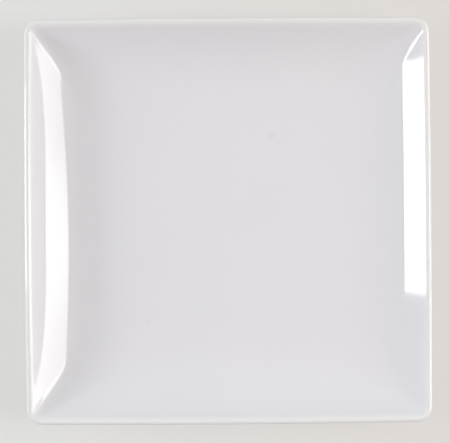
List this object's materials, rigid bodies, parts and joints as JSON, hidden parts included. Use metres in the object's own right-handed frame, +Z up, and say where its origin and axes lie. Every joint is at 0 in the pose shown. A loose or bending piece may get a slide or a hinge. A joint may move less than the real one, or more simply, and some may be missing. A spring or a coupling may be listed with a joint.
{
  "type": "salad plate",
  "caption": "Square white porcelain salad plate with a flat well, curved walls that meet in soft mitres, a rounded lip and a foot ring with a bare standing edge.",
  "frame": {"origin": "middle of the foot ring, on the plane of the edge that the plate stands on", "axes": "+Z up out of the well, X and Y parallel to the plate's sides"},
  "size_m": [0.21, 0.21, 0.0232],
  "materials": {
    "bare_porcelain": "matte",
    "white_glaze": "gloss"
  },
  "bodies": {
    "root": {"porcelain_body": "bare_porcelain", "foot_ring": "bare_porcelain", "face_glaze": "white_glaze", "back_glaze": "white_glaze", "base_glaze": "white_glaze"}
  },
  "joints": []
}
